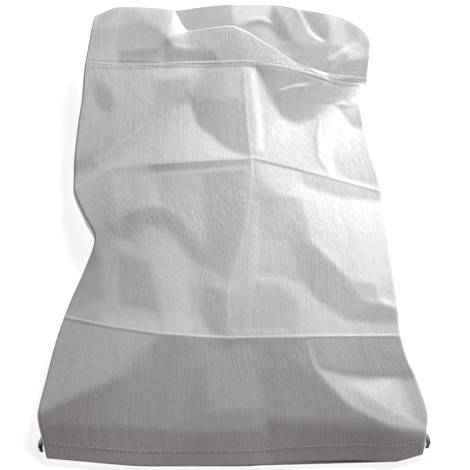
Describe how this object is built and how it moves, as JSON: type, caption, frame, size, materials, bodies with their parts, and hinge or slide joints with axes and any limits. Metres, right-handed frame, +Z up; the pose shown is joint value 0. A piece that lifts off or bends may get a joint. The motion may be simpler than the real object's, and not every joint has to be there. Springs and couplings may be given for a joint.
{
  "type": "rubble sack",
  "caption": "Empty woven polypropylene rubble sack lying flat, with a wide hemmed open mouth, packing creases and a foot folded and sewn shut.",
  "frame": {"origin": "on the floor under the middle of the sack's box", "axes": "+Y along the sack from its sewn foot to its open mouth, +Z up from the floor, +X across to the right fold"},
  "size_m": [0.5809, 0.953, 0.0593],
  "materials": {
    "woven_polypropylene": "semi-gloss woven flat tape",
    "white_thread": "matt twisted thread",
    "dark_thread": "matt twisted thread"
  },
  "bodies": {
    "root": {"woven_sack": "woven_polypropylene", "hem_thread_lower": "white_thread", "hem_thread_upper": "white_thread", "foot_needle_thread": "white_thread", "foot_looper_thread": "dark_thread"}
  },
  "joints": []
}
